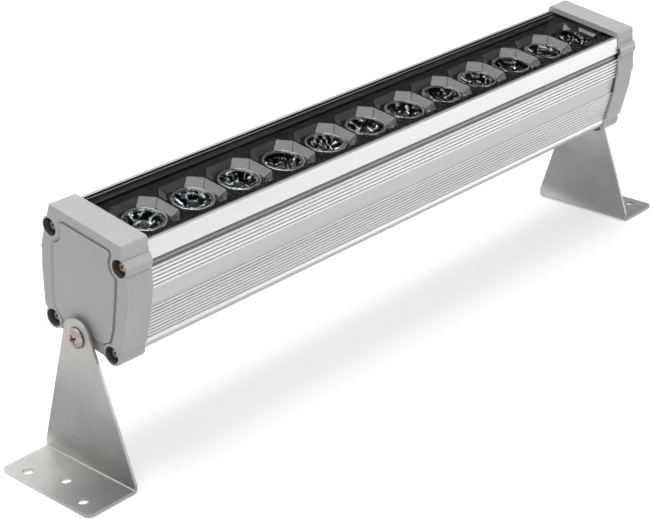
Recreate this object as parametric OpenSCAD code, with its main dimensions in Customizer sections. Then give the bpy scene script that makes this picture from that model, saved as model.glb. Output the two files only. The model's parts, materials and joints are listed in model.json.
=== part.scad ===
// Outdoor wall washer light: an extruded aluminium trough with a glass lid, a row of
// lenses in dark hoods, two screwed end caps, and two bent sheet brackets that it tilts on.
// X runs along the light, Y points to the back, Z up. The origin lies on the surface that
// the feet are screwed to, midway between the feet and straight below the tilt axis.
// Heights of the housing's pieces are measured from the tilt axis, square to the glass.

/* [Overall] */
// Length over the outer faces of the two end caps
overall_len = 502; // [442:1:1000]
// Height of the tilt axis above the mounting surface
pivot_h = 90.2; // [84:0.1:140]
// Tilt of the light towards the front in the modelled pose
tilt_deg = 8.9; // [0:0.1:25]

/* [Extruded housing] */
// Height of the flat top of the glass lips above the tilt axis
lip_top_h = 70.4; // [69.4:0.1:74]
// Half of the opening between the two glass lips
lip_in_half = 29.2; // [28.6:0.1:29.4]
// Half width of the profile over the outer top edges of the lips
lip_out_half = 31.2; // [31:0.1:31.4]
// Height of the lower edge of each lip above the tilt axis
groove_h = 59.8; // [59.4:0.1:60.2]
// Half width of the profile at that edge
groove_half = 34.3; // [34.1:0.1:34.5]
// Half width of the profile over the ribs at that height
band_top_half = 36.1; // [35.9:0.05:36.2]
// Half width of the profile over the ribs at that height
band_low_half = 35.8; // [35.6:0.05:35.9]
// Height at which the profile is widest, near the top of the plain band
band_top_h = 42; // [41.4:0.1:42.4]
// Height of the bottom of the plain band above the tilt axis
band_low_h = 28.8; // [28.4:0.1:29.4]
// Half width of the profile where the rounded bottom corner starts
heel_half = 32.4; // [32:0.1:32.6]
// Radius of the rounded bottom corners
heel_r = 6.2; // [5.8:0.1:6.4]
// Height of the centre of the rounded bottom corners above the tilt axis
heel_h = 2; // [1.8:0.1:2.4]
// Distance from one cooling rib to the next
rib_pitch = 2.5; // [2.3:0.05:2.52]
// Depth of the grooves between the ribs
rib_depth = 0.95; // [0.5:0.05:1.1]
// Width of a rib as a share of the pitch
rib_share = 0.5; // [0.4:0.01:0.6]
// How far a rib's edge leans as a share of the pitch
rib_lean_share = 0.1; // [0.02:0.01:0.12]
// Height of the top of the first rib under that edge
upper_rib_h = 54.8; // [54.2:0.1:55]
// Height of the top of the first rib under the plain band
lower_rib_h = 27.9; // [27.6:0.1:28.2]
// Depth of the groove between the lip and the first rib
groove_depth = 1.5; // [1:0.1:1.6]
// Bevel between that groove and the first rib
groove_cut = 0.5; // [0.2:0.1:1]
// Ribs above the plain band on each side
upper_ribs = 6; // [3:1:6]
// Ribs below the plain band on each side
lower_ribs = 10; // [6:1:10]
// Wall thickness of the profile behind the ribs
wall_t = 2.4; // [2:0.1:2.8]
// Height of the upper face of the web that carries the board
web_top_h = 46.4; // [45.4:0.1:47.4]
// Thickness of that web
web_t = 3; // [2.5:0.1:5]
// Radius of the screw channels in the four corners of the profile
port_r = 3.2; // [3:0.1:3.4]

/* [End caps] */
// Length of an end cap along the light
cap_len = 19.8; // [19:0.1:24]
// Depth of the solid end wall of a cap
cap_wall = 7.5; // [7.2:0.1:9]
// Height of the flat top of a cap above the tilt axis
cap_top_h = 74.6; // [73.8:0.1:76]
// Half width of the flat top of a cap
cap_top_half = 31.2; // [30.9:0.1:31.4]
// Height of the underside of a cap, below zero is under the axis
cap_low_h = -5.4; // [-6:0.1:-5]
// Half spacing of the two upper cap screws
upper_screw_y = 30; // [29.8:0.1:30.2]
// Height of the upper cap screws above the tilt axis
upper_screw_h = 59.4; // [59.2:0.1:59.7]
// Half spacing of the two lower cap screws
lower_screw_y = 26; // [25.8:0.1:26.2]
// Height of the lower cap screws, below zero is under the axis
lower_screw_h = -0.9; // [-1.1:0.1:-0.6]
// Outer radius of the bosses round the upper cap screws
boss_r = 6.9; // [6.6:0.1:7.2]
// Outer radius of the bosses round the lower cap screws
low_boss_r = 7.2; // [6.8:0.1:7.6]
// Wall of a cap beside the plain band of the profile
cap_skin = 2.1; // [1.8:0.1:3]
// Diameter of the recess over each cap screw head
recess_d = 10.8; // [9:0.1:11.4]
// Depth of that recess
recess_depth = 5; // [4.6:0.1:5.4]
// Depth of the moat round the middle panel of a cap face
moat_depth = 1; // [0.4:0.1:1.4]
// Width of that moat
moat_w = 3.2; // [1.5:0.1:3.4]
// Distance from the upper cap screws' axes to the panel
panel_clear = 9.6; // [9.2:0.1:10.5]
// Distance from the lower cap screws' axes to the panel
low_panel_clear = 7.8; // [7.6:0.1:8.6]
// Radius of the two upper corners of that panel
panel_r = 2.5; // [1:0.1:4]
// Thickness of the gasket inside each cap
gasket_t = 1; // [0.8:0.1:1.5]
// How far the gasket laps inside the walls of the profile
gasket_rim = 1.4; // [1:0.1:2]

/* [Glass] */
// Thickness of the glass
glass_t = 4; // [3:0.1:4.2]
// Depth of the glass face below the lip tops
glass_drop = 0.8; // [0.5:0.1:0.9]
// Thickness of the seal under the glass
seal_t = 1; // [0.6:0.1:1.2]
// Width of the seal between the glass edge and the lip
seal_w = 1.4; // [1.2:0.1:1.8]
// Depth of the seal's top edge below the glass face
seal_drop = 0.2; // [0:0.1:0.6]
// Width of the ledge that the seal lies on
ledge_w = 4.6; // [4:0.1:4.8]
// Thickness of that ledge
ledge_t = 2; // [1.6:0.1:2.4]

/* [Optics] */
// Lenses in the row
lens_count = 12; // [12:1:12]
// Room for the wires at the left end of the row
wire_space = 18.3; // [12:0.1:20]
// Room at the right end of the row
row_end_gap = 0.5; // [0.3:0.1:4]
// Diameter of a lens over its rim
lens_d = 27.3; // [24:0.1:28]
// Height of a lens above the board
lens_h = 12; // [11:0.1:12.4]
// Diameter of a lens where it stands on the board
lens_foot_d = 11.2; // [10:0.1:13]
// Thickness of the rim of a lens
lens_rim_t = 1.6; // [1:0.1:2.2]
// How far the rim of a lens stands out past its cone
lens_lip = 0.7; // [0.4:0.1:1]
// Width of the raised bead on the rim of a lens
lens_bead = 0.8; // [0.4:0.1:1.2]
// Depth of the lens face below that bead
lens_dish = 0.5; // [0.2:0.1:0.8]
// Diameter of the hollow over the light source
lens_well_d = 6.8; // [6:0.1:7.2]
// Height of that hollow
lens_well_h = 4.4; // [3.6:0.1:5]
// Bevel at the top of that hollow
lens_well_cut = 0.4; // [0.1:0.1:0.8]
// Width of a hood across the light
hood_w = 48; // [46:0.1:48.4]
// Height of a hood above the board
hood_h = 15.7; // [15:0.1:16.4]
// Gap between neighbouring hoods
hood_gap = 0.35; // [0.2:0.05:0.8]
// Depth of the eight-sided pocket in a hood
pocket_depth = 5.1; // [4:0.1:5.4]
// Thickness of the hood at its pocket edge along the row
pocket_rim = 0.6; // [0.5:0.05:1]
// Half length of the pocket opening across the light
pocket_half_y = 17.7; // [17.4:0.1:18.4]
// How far the pocket walls lean in along the row
pocket_lean_x = 3.3; // [2:0.1:3.4]
// How far the pocket walls lean in across the row
pocket_lean_y = 2; // [1:0.1:2.6]
// Corner cut of the pocket opening along the row
pocket_cut_x = 7.5; // [7:0.1:7.8]
// Corner cut of the pocket opening across the row
pocket_cut_y = 8; // [7.6:0.1:8.4]
// Corner cuts of the pocket floor as a share of those of the opening
floor_cut_share = 1.1; // [1.02:0.01:1.14]
// Thickness of the pocket floor and of the hood skirt
hood_wall = 2; // [1.5:0.1:2.2]
// Radial gap between a lens and its hood
lens_gap = 0.3; // [0.2:0.05:0.4]

/* [Board and driver] */
// Thickness of the board
board_t = 1.6; // [1:0.1:2]
// Width of the board
board_w = 36; // [34:0.1:40]
// Gap between the board and each end of the lens row
board_end_gap = 0.6; // [0.2:0.1:1.5]
// Half spacing of the two rows of board screws
board_screw_y = 14; // [13:0.1:14.6]
// Diameter of the board screws
board_screw_d = 3; // [2.5:0.1:3]
// Side of a square light source
led_side = 3.5; // [3:0.1:4]
// Height of the base of a light source
led_t = 0.9; // [0.7:0.1:1.2]
// Length of the driver block
driver_len = 150; // [120:1:220]
// Width of the driver block
driver_w = 42; // [36:0.5:43]
// Height of the driver block
driver_h = 24; // [18:0.5:30]

/* [Cap screws] */
// Shank diameter of a cap screw
cap_screw_d = 4; // [3.6:0.1:4.2]
// Head diameter of a cap screw
cap_head_d = 8.4; // [7.6:0.1:8.8]
// Head height of a cap screw
cap_head_h = 3; // [2.6:0.1:3.4]
// Length of a cap screw under the head
cap_screw_len = 16; // [12:0.5:20]
// Width of the cross recess as a share of the head diameter
cap_cross_share = 0.52; // [0.45:0.01:0.55]

/* [Brackets] */
// Thickness of the bracket sheet
sheet_t = 2; // [1.6:0.1:2.4]
// Thickness of the spacer between a cap and its bracket
spacer_t = 2.4; // [1.5:0.1:3.4]
// Diameter of the spacer
spacer_d = 17; // [15:0.5:18.5]
// Radius of the round top of a bracket
top_r = 11.8; // [11:0.1:12.4]
// Half width of the bracket at the fold
foot_half = 41; // [38:0.1:46]
// Depth of a foot from the face of its upright
foot_depth = 35.6; // [33:0.1:45]
// Height of the straight edges above the foot
edge_h = 6; // [5:0.1:12]
// Inner radius of the fold
fold_r = 1; // [0.5:0.1:2]
// Radius of the two outer corners of a foot
corner_r = 4.5; // [2:0.1:6]
// Diameter of the holes in a foot
hole_d = 7; // [5:0.1:8]
// Half spacing of the two outer holes
outer_hole_y = 25.6; // [22:0.1:30]
// Distance of the outer holes from the upright
outer_hole_x = 26.8; // [24:0.1:28]
// Distance of the middle hole from the upright
mid_hole_x = 18.6; // [14:0.1:22]

/* [Tilt screws] */
// Shank diameter of a tilt screw
pivot_d = 6; // [5:0.1:8]
// Head diameter of a tilt screw
pivot_head_d = 13.4; // [12:0.1:15]
// Head height of a tilt screw
pivot_head_h = 3.7; // [3:0.1:4.6]
// Depth that a tilt screw reaches into its cap
pivot_grip = 6; // [5:0.1:6.2]
// Room in the cap past the end of a tilt screw
pivot_end_gap = 0.5; // [0.2:0.1:1]
// Width of the cross recess as a share of the head diameter
pivot_cross_share = 0.45; // [0.4:0.01:0.5]

/* [Cable gland] */
// Height of the gland above the tilt axis
gland_h = 29.4; // [27:0.2:30]
// Thread diameter of the gland
gland_d = 15; // [12:0.1:15.2]
// Width of the gland over its flats
gland_af = 18; // [17.6:0.1:20]
// Diameter of the hole that the cable goes through
cable_d = 7; // [5:0.1:8]
// Thickness of the gland's flange
gland_flange_t = 4.5; // [3:0.1:6]
// Length of the gland's nut
gland_nut_len = 14.2; // [13:0.1:16]
// Length of the nut's rounded end
gland_dome_len = 4; // [3:0.1:5]
// How much narrower the nut is at its outer face
gland_dome_in = 2.5; // [1:0.1:3]
// Wall at the outer face of the nut
gland_wall = 2.5; // [1.5:0.1:3]
// Length of the threaded neck under the nut
gland_neck = 8; // [6:0.1:9]
// Length of the neck's solid bottom under the seal
gland_seat = 1.5; // [1:0.1:2.5]
// Thickness of the locknut inside the cap
locknut_t = 4.5; // [3:0.1:5]
// How far the thread reaches past the locknut
gland_tail = 0.5; // [0.2:0.1:2]
// Wall thickness of the seal round the cable
gland_seal_t = 2; // [1.5:0.1:2.4]

/* [Clearances] */
// Radial clearance between a tilt screw and its bracket
run_gap = 0.08; // [0.02:0.01:0.1]
// Radial clearance of screws in their threads
thread_gap = 0.05; // [0.02:0.01:0.1]
// Radial clearance of screws in plain holes
hole_gap = 0.6; // [0.3:0.1:0.8]
// Gap between the profile and the inside of a cap
cap_gap = 0.15; // [0.1:0.01:0.2]
// Gap round the gasket inside a cap
gasket_gap = 0.3; // [0.2:0.05:0.5]
// Gap between a seal and the lip beside it
seal_gap = 0.05; // [0.02:0.01:0.1]
// Radial clearance between the gland's pieces
gland_gap = 0.1; // [0.05:0.01:0.15]

/* [Hidden] */
$fn = 64;
cap_x = overall_len / 2;
wall_x = cap_x - cap_wall;
profile_end = wall_x - gasket_t;
profile_len = 2 * profile_end;
ledge_top_h = lip_top_h - glass_drop - glass_t - seal_t;
ledge_in_half = lip_in_half - ledge_w;
chamber_low_h = heel_h - heel_r + wall_t;
rib_lean = rib_pitch * rib_lean_share;
cap_half = band_top_half + cap_skin;
// Outline of a cap below its flat top, as shares of its half width and of its height
cap_shares = [[0.869, 0.879], [0.935, 0.748], [1, 0.576], [0.979, 0.555],
    [0.976, 0.394], [0.893, 0.052], [0.835, 0.04]];
// Outline of the panel in its face, as shares of the same two sizes
panel_shares = [[0.563, 0.82], [0.7, 0.69], [0.7, 0.53], [0.673, 0.217], [0.615, 0.083]];
panel_top_share = 0.888;
// Width and height of the straight lower edge of the panel, as shares of the same two sizes
panel_low_share = 0.445;
panel_low_h_share = 0.031;
// Points on the cone of a lens, as shares of its flare and of its height
cone_shares = [[0.38, 0.3], [0.7, 0.64]];
// Widths of a light source's dome at its foot and its top, as shares of the source's side
dome_shares = [0.8, 0.4];
// Width and height of a board screw's head, as shares of its diameter
board_head_shares = [1.8, 0.6];
web_low_h = web_top_h - web_t;
board_top_h = web_top_h + board_t;
row_len = profile_len - wire_space - row_end_gap;
lens_pitch = row_len / lens_count;
row_x = (wire_space - row_end_gap) / 2;
function lens_x(i) = row_x + (i + 0.5 - lens_count / 2) * lens_pitch;
screw_spots = [
    [upper_screw_y, upper_screw_h], [-upper_screw_y, upper_screw_h],
    [lower_screw_y, lower_screw_h], [-lower_screw_y, lower_screw_h]
];
// Places of the board screws along the row, from its first lens to its last
board_screw_shares = [0, 0.36, 0.64, 1];
board_screw_ids = [for (p = board_screw_shares) round(p * (lens_count - 1))];
// Height of the rim and of the cross in a screw head, as shares of the head's height
head_rim_share = 0.35;
head_cross_share = 0.6;
plate_in_x = cap_x + spacer_t;
plate_out_x = plate_in_x + sheet_t;
foot_end_x = plate_out_x + foot_depth;
inner_half = heel_half - rib_depth - wall_t;
heel_steps = 12;
sliver = 0.02;
cut = 1;
gland_top = cap_x + gland_flange_t;
gland_end = gland_top + gland_nut_len;
gland_in_x = wall_x - locknut_t - gland_tail;
gland_seal_d = cable_d + 2 * gland_seal_t;
lens_ids = [for (i = [0:lens_count - 1]) i];

// Half width of the smooth flank at a height
function flank(z) = lookup(z, [
    [heel_h, heel_half], [band_low_h, band_low_half],
    [band_top_h, band_top_half], [groove_h, groove_half]]);
// Outline points of one rib and the groove below it
function rib_points(z) = let (low = z - rib_pitch * rib_share, next = z - rib_pitch) [
    [flank(z), z], [flank(low), low],
    [flank(low) - rib_depth, low - rib_lean], [flank(next) - rib_depth, next + rib_lean]];
function ribs(top, n) = [for (k = [0:n - 1]) each rib_points(top - k * rib_pitch)];
function flip(pts) = [for (k = [len(pts) - 1:-1:0]) [-pts[k][0], pts[k][1]]];
// Points round the bottom corner from the flank to the underside, grown by g
function heel_points(g) = [for (k = [0:heel_steps]) let (a = -90 * k / heel_steps)
    [heel_half - heel_r + (heel_r + g) * cos(a), heel_h + (heel_r + g) * sin(a)]];
// One flank of the profile from the lip down to the heel
half_outline = concat(
    [[lip_out_half, lip_top_h], [groove_half, groove_h],
     [groove_half - groove_depth, groove_h - rib_lean],
     [groove_half - groove_depth, upper_rib_h + groove_cut]],
    ribs(upper_rib_h, upper_ribs),
    [[flank(lower_rib_h) - rib_depth, lower_rib_h + rib_lean]],
    ribs(lower_rib_h, lower_ribs));

// Places a piece given in the housing's own frame
module in_housing() {
    translate([0, 0, pivot_h]) rotate([tilt_deg, 0, 0]) children();
}

// Extrudes a section drawn across the light along X
module along_x(x0, x1) {
    translate([x0, 0, 0]) rotate([90, 0, 90]) linear_extrude(x1 - x0) children();
}

// Cylinder along X from x0 to x1
module rod(d, x0, x1) {
    translate([x0, 0, 0]) rotate([0, 90, 0]) cylinder(d = d, h = x1 - x0);
}

// Mirrors a left-hand piece to the right
module to_right() {
    mirror([1, 0, 0]) children();
}

// Smooth outline of the profile, grown by g
module smooth_outline(g) {
    side = concat([[lip_out_half + g, lip_top_h + g], [groove_half + g, groove_h],
                   [band_top_half + g, band_top_h], [band_low_half + g, band_low_h]], heel_points(g));
    polygon(concat(side, flip(side)));
}

module ribbed_outline() {
    side = concat(half_outline, heel_points(0));
    polygon(concat(side, flip(side)));
}

// Hollow chambers of the profile
module lower_chamber() {
    back = rib_depth + wall_t;
    side = [[flank(web_low_h) - back, web_low_h], [band_low_half - back, band_low_h],
            [inner_half, heel_h + wall_t], [inner_half - wall_t, chamber_low_h]];
    polygon(concat(side, flip(side)));
}

module upper_chamber() {
    back = rib_depth + wall_t;
    low = ledge_top_h - ledge_t;
    side = [[groove_half - back, low], [groove_half - back, groove_h],
            [flank(web_top_h) - back, web_top_h]];
    polygon(concat(side, flip(side)));
    translate([-ledge_in_half, low - cut]) square([2 * ledge_in_half, lip_top_h - low + 2 * cut]);
    translate([-lip_in_half, ledge_top_h]) square([2 * lip_in_half, lip_top_h - ledge_top_h + cut]);
}

module profile_section() {
    difference() {
        ribbed_outline();
        difference() {
            union() {
                lower_chamber();
                upper_chamber();
            }
            for (p = screw_spots) translate(p) circle(r = port_r / cos(15), $fn = 12);
        }
        for (p = screw_spots) translate(p) circle(d = cap_screw_d + 2 * thread_gap);
    }
}

module housing_profile() {
    color("gainsboro") in_housing() difference() {
        along_x(-profile_end, profile_end) profile_section();
        for (i = board_screw_ids, s = [-1, 1])
            translate([lens_x(i), s * board_screw_y, web_low_h - cut])
                cylinder(d = board_screw_d + 2 * thread_gap, h = web_t + 2 * cut);
    }
}

// Outline of a cap seen from its end
module cap_outline() {
    side = concat([[cap_top_half, cap_top_h]],
        [for (p = cap_shares) [p[0] * cap_half, p[1] * cap_top_h]],
        [[lower_screw_y, cap_low_h]]);
    polygon(concat(side, flip(side)));
    for (s = [-1, 1]) {
        translate([s * upper_screw_y, upper_screw_h]) circle(r = boss_r);
        translate([s * lower_screw_y, lower_screw_h]) circle(r = low_boss_r);
    }
}

// Middle panel of a cap face, grown by g
module panel_outline(g) {
    top = cap_top_h * panel_top_share;
    half = panel_shares[0][0] * cap_half;
    side = concat([[half - panel_r, top + g], [half + g, top - panel_r]],
        [for (p = panel_shares) [p[0] * cap_half + g, p[1] * cap_top_h]],
        [[panel_low_share * cap_half, panel_low_h_share * cap_top_h - g]]);
    difference() {
        union() {
            polygon(concat(side, flip(side)));
            for (s = [-1, 1]) translate([s * (half - panel_r), top - panel_r]) circle(r = panel_r + g);
        }
        for (s = [-1, 1]) {
            translate([s * upper_screw_y, upper_screw_h]) circle(r = panel_clear - g);
            translate([s * lower_screw_y, lower_screw_h]) circle(r = low_panel_clear - g);
        }
    }
}

// Moat round the panel, open at the bottom, with a pad for the spacer left in it
module moat_outline() {
    gap = lower_screw_y - low_boss_r;
    difference() {
        union() {
            panel_outline(moat_w);
            translate([-gap, cap_low_h - cut]) square([2 * gap, moat_w - cap_low_h]);
        }
        panel_outline(0);
        circle(d = spacer_d);
        for (s = [-1, 1]) translate([s * lower_screw_y, lower_screw_h]) circle(r = low_boss_r);
    }
}

// Left end cap, or the right one when mirrored
module cap_solid() {
    difference() {
        along_x(-cap_x, -cap_x + cap_len) cap_outline();
        along_x(-cap_x - cut, -cap_x + moat_depth) moat_outline();
        along_x(-wall_x, -cap_x + cap_len + cut) smooth_outline(cap_gap);
        for (p = screw_spots) translate([0, p[0], p[1]]) {
            rod(recess_d, -cap_x - cut, -cap_x + recess_depth);
            rod(cap_screw_d + 2 * hole_gap, -cap_x, -wall_x + cut);
        }
        rod(pivot_d + 2 * thread_gap, -cap_x - cut, -cap_x + pivot_grip + pivot_end_gap);
    }
}

module left_end_cap() {
    color("darkgray") in_housing() cap_solid();
}

module right_end_cap() {
    color("darkgray") in_housing() difference() {
        to_right() cap_solid();
        translate([0, 0, gland_h]) rod(gland_d + 2 * gland_gap, wall_x - cut, cap_x + cut);
    }
}

// Window in a gasket between two heights
module gasket_window(half, low, high) {
    translate([-half, low]) square([2 * half, high - low]);
}

module gasket_solid() {
    side_gap = port_r + gasket_rim;
    along_x(-wall_x, -profile_end) difference() {
        smooth_outline(-gasket_gap);
        gasket_window(lower_screw_y - side_gap, heel_h + gasket_rim, web_low_h - gasket_rim);
        gasket_window(upper_screw_y - side_gap, web_top_h + gasket_rim, ledge_top_h - ledge_t - gasket_rim);
        for (p = screw_spots) translate(p) circle(d = cap_screw_d + 2 * hole_gap);
    }
}

module left_cap_gasket() {
    color("dimgray") in_housing() gasket_solid();
}

module right_cap_gasket() {
    color("dimgray") in_housing() to_right() gasket_solid();
}

// Cross recess of a screw, cut along X into its head at x
module cross_recess(x, size, depth) {
    for (a = [45, 135]) translate([x, 0, 0]) rotate([a, 0, 0])
        translate([-cut, -size / 2, -size / 9]) cube([depth + cut, size, 2 * size / 9]);
}

// Pan head screw along X, its head bearing at x and its shank pointing to +X
module pan_screw(x, d, head_d, head_h, length, recess) {
    difference() {
        union() {
            rod(d, x - sliver, x + length);
            translate([x, 0, 0]) rotate([0, -90, 0]) rotate_extrude() pan_half(head_d / 2, head_h);
        }
        cross_recess(x - head_h, recess, head_h * head_cross_share);
    }
}

// Half section of a pan head, flat rim then a dome
module pan_half(r, h) {
    rim = h * head_rim_share;
    dome_r = (r * r + (h - rim) * (h - rim)) / (2 * (h - rim));
    square([r, rim]);
    intersection() {
        translate([0, h - dome_r]) circle(r = dome_r);
        square([r, h]);
    }
}

module cap_screw_set() {
    for (p = screw_spots) translate([0, p[0], p[1]])
        pan_screw(-cap_x + recess_depth, cap_screw_d, cap_head_d, cap_head_h, cap_screw_len,
            cap_head_d * cap_cross_share);
}

module left_cap_screws() {
    color("rosybrown") in_housing() cap_screw_set();
}

module right_cap_screws() {
    color("rosybrown") in_housing() to_right() cap_screw_set();
}

module glass_cover() {
    half = lip_in_half - seal_w;
    color("lightcyan", 0.4) in_housing()
        translate([-profile_end, -half, lip_top_h - glass_drop - glass_t])
            cube([profile_len, 2 * half, glass_t]);
}

// Seal strip with its foot under the glass and its leg beside it
module seal_strip() {
    out = lip_in_half - seal_gap;
    top = lip_top_h - glass_drop - seal_drop;
    in_housing() along_x(-profile_end, profile_end) polygon([
        [ledge_in_half, ledge_top_h], [out, ledge_top_h],
        [out, top], [lip_in_half - seal_w, top],
        [lip_in_half - seal_w, ledge_top_h + seal_t], [ledge_in_half, ledge_top_h + seal_t]]);
}

module rear_glass_seal() {
    color("black") seal_strip();
}

module front_glass_seal() {
    color("black") in_housing() mirror([0, 1, 0]) rotate([-tilt_deg, 0, 0])
        translate([0, 0, -pivot_h]) seal_strip();
}

// Eight-sided outline with corner cuts
module octagon(hx, hy, cx, cy) {
    polygon([[hx - cx, hy], [hx, hy - cy], [hx, cy - hy], [hx - cx, -hy],
             [cx - hx, -hy], [-hx, cy - hy], [-hx, hy - cy], [cx - hx, hy]]);
}

module hood(i) {
    half_x = (lens_pitch - hood_gap) / 2;
    px = half_x - pocket_rim;
    floor_h = hood_h - pocket_depth;
    bore_d = lens_d + 2 * lens_gap;
    color([0.14, 0.14, 0.15]) in_housing() translate([lens_x(i), 0, board_top_h]) difference() {
        translate([-half_x, -hood_w / 2, 0]) cube([2 * half_x, hood_w, hood_h]);
        hull() {
            translate([0, 0, floor_h]) linear_extrude(sliver)
                octagon(px - pocket_lean_x, pocket_half_y - pocket_lean_y,
                    pocket_cut_x * floor_cut_share, pocket_cut_y * floor_cut_share);
            translate([0, 0, hood_h]) linear_extrude(sliver)
                octagon(px, pocket_half_y, pocket_cut_x, pocket_cut_y);
        }
        translate([0, 0, -cut]) cylinder(d = bore_d, h = floor_h + 2 * cut);
        translate([hood_wall - half_x, hood_wall - hood_w / 2, -cut])
            cube([2 * (half_x - hood_wall), hood_w - 2 * hood_wall, floor_h - hood_wall + cut]);
    }
}

module lens(i) {
    r = lens_d / 2;
    rf = lens_foot_d / 2;
    rw = lens_well_d / 2;
    rim = lens_h - lens_rim_t;
    face = lens_h - lens_dish;
    color("white", 0.5) in_housing() translate([lens_x(i), 0, board_top_h]) rotate_extrude()
        polygon(concat([[rw, 0], [rf, 0]],
            [for (p = cone_shares) [rf + (r - rf) * p[0], rim * p[1]]],
            [[r - lens_lip, rim], [r, rim], [r, lens_h], [r - lens_bead, lens_h],
             [r - lens_bead - lens_dish, face], [0, face], [0, lens_well_h],
             [rw - lens_well_cut, lens_well_h], [rw, lens_well_h - lens_well_cut]]));
}

module led(i) {
    color("khaki") in_housing() translate([lens_x(i), 0, board_top_h]) {
        translate([-led_side / 2, -led_side / 2, 0]) cube([led_side, led_side, led_t]);
        translate([0, 0, led_t - sliver])
            cylinder(d1 = led_side * dome_shares[0], d2 = led_side * dome_shares[1], h = led_t);
    }
}

module led_board() {
    x0 = row_x - row_len / 2 + board_end_gap;
    color("white") in_housing() difference() {
        translate([x0, -board_w / 2, web_top_h]) cube([row_len - 2 * board_end_gap, board_w, board_t]);
        for (i = board_screw_ids, s = [-1, 1]) translate([lens_x(i), s * board_screw_y, web_top_h - cut])
            cylinder(d = board_screw_d + 2 * thread_gap, h = board_t + 2 * cut);
    }
}

module board_screws() {
    color("silver") in_housing()
        for (i = board_screw_ids, s = [-1, 1]) translate([lens_x(i), s * board_screw_y, board_top_h])
            rotate([0, 90, 0]) pan_screw(0, board_screw_d, board_screw_d * board_head_shares[0],
                board_screw_d * board_head_shares[1], board_t + web_t, board_screw_d);
}

module driver_block() {
    color("black") in_housing() translate([-driver_len / 2, -driver_w / 2, chamber_low_h])
        cube([driver_len, driver_w, driver_h]);
}

// Six-sided bar along X over its flats
module hex_rod(af, x0, x1) {
    translate([x0, 0, 0]) rotate([0, 90, 0]) cylinder(d = af / cos(30), h = x1 - x0, $fn = 6);
}

module gland_body() {
    color("dimgray") in_housing() translate([0, 0, gland_h]) difference() {
        union() {
            hex_rod(gland_af, cap_x, gland_top);
            rod(gland_d, gland_in_x, cap_x + sliver);
            rod(gland_d - 4 * gland_gap, gland_top - sliver, gland_top + gland_neck);
        }
        rod(cable_d + gland_seal_t, gland_in_x - cut, gland_top + gland_seat + sliver);
        rod(gland_seal_d + 2 * gland_gap, gland_top + gland_seat, gland_top + gland_neck + cut);
    }
}

module gland_seal() {
    color("black") in_housing() translate([0, 0, gland_h]) difference() {
        rod(gland_seal_d, gland_top + gland_seat, gland_end - gland_wall);
        rod(cable_d, gland_top, gland_end);
    }
}

module gland_nut() {
    color("dimgray") in_housing() translate([0, 0, gland_h]) difference() {
        union() {
            hex_rod(gland_af, gland_top, gland_end - gland_dome_len);
            translate([gland_end - gland_dome_len - sliver, 0, 0]) rotate([0, 90, 0])
                cylinder(d1 = gland_af - gland_gap, d2 = gland_af - 2 * gland_dome_in, h = gland_dome_len);
        }
        rod(gland_d - 2 * gland_gap, gland_top - cut, gland_top + gland_neck + gland_gap);
        rod(gland_seal_d + 2 * gland_gap, gland_top, gland_end - gland_wall);
        rod(cable_d + gland_seal_t / 2, gland_top, gland_end + cut);
    }
}

module gland_locknut() {
    color("dimgray") in_housing() translate([0, 0, gland_h]) difference() {
        hex_rod(gland_af, wall_x - locknut_t, wall_x);
        rod(gland_d + 2 * thread_gap, wall_x - locknut_t - cut, wall_x + cut);
    }
}

// Angle and point where the straight side of the upright meets its round top
side_gap = pivot_h - edge_h;
side_ang = atan2(-side_gap, foot_half) + acos(top_r / sqrt(foot_half * foot_half + side_gap * side_gap));

module upright_outline() {
    tx = top_r * cos(side_ang);
    tz = pivot_h + top_r * sin(side_ang);
    base = sheet_t + fold_r;
    polygon([[foot_half, base], [foot_half, edge_h], [tx, tz], [0, pivot_h], [-tx, tz],
             [-foot_half, edge_h], [-foot_half, base]]);
    translate([0, pivot_h]) circle(r = top_r);
}

module bracket_solid() {
    fold = sheet_t + fold_r;
    y = foot_half;
    difference() {
        union() {
            along_x(-plate_out_x, -plate_in_x) upright_outline();
            translate([-foot_end_x + corner_r, -y, 0])
                cube([foot_end_x - corner_r - plate_out_x - fold_r, 2 * y, sheet_t]);
            translate([-foot_end_x, corner_r - y, 0])
                cube([corner_r + sliver, 2 * (y - corner_r), sheet_t]);
            for (s = [-1, 1]) translate([-foot_end_x + corner_r, s * (y - corner_r), 0])
                cylinder(r = corner_r, h = sheet_t);
            translate([-plate_out_x - fold_r, y, fold]) rotate([90, 0, 0]) intersection() {
                difference() {
                    cylinder(r = fold, h = 2 * y);
                    translate([0, 0, -cut]) cylinder(r = fold_r, h = 2 * (y + cut));
                }
                translate([0, -fold - cut, -cut]) cube([fold + cut, fold + cut, 2 * (y + cut)]);
            }
        }
        translate([0, 0, pivot_h]) rod(pivot_d + 2 * run_gap, -plate_out_x - cut, -plate_in_x + cut);
        for (s = [-1, 1]) translate([-plate_out_x - outer_hole_x, s * outer_hole_y, -cut])
            cylinder(d = hole_d, h = sheet_t + 2 * cut);
        translate([-plate_out_x - mid_hole_x, 0, -cut]) cylinder(d = hole_d, h = sheet_t + 2 * cut);
    }
}

module left_bracket() {
    color("silver") bracket_solid();
}

module right_bracket() {
    color("silver") to_right() bracket_solid();
}

module tilt_screw() {
    in_housing() pan_screw(-plate_out_x, pivot_d, pivot_head_d, pivot_head_h,
        plate_out_x - cap_x + pivot_grip, pivot_head_d * pivot_cross_share);
}

module left_tilt_screw() {
    color("rosybrown") tilt_screw();
}

module right_tilt_screw() {
    color("rosybrown") to_right() tilt_screw();
}

module spacer() {
    in_housing() difference() {
        rod(spacer_d, -plate_in_x, -cap_x);
        rod(pivot_d + 2 * thread_gap, -plate_in_x - cut, -cap_x + cut);
    }
}

module left_spacer() {
    color("black") spacer();
}

module right_spacer() {
    color("black") to_right() spacer();
}

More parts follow.
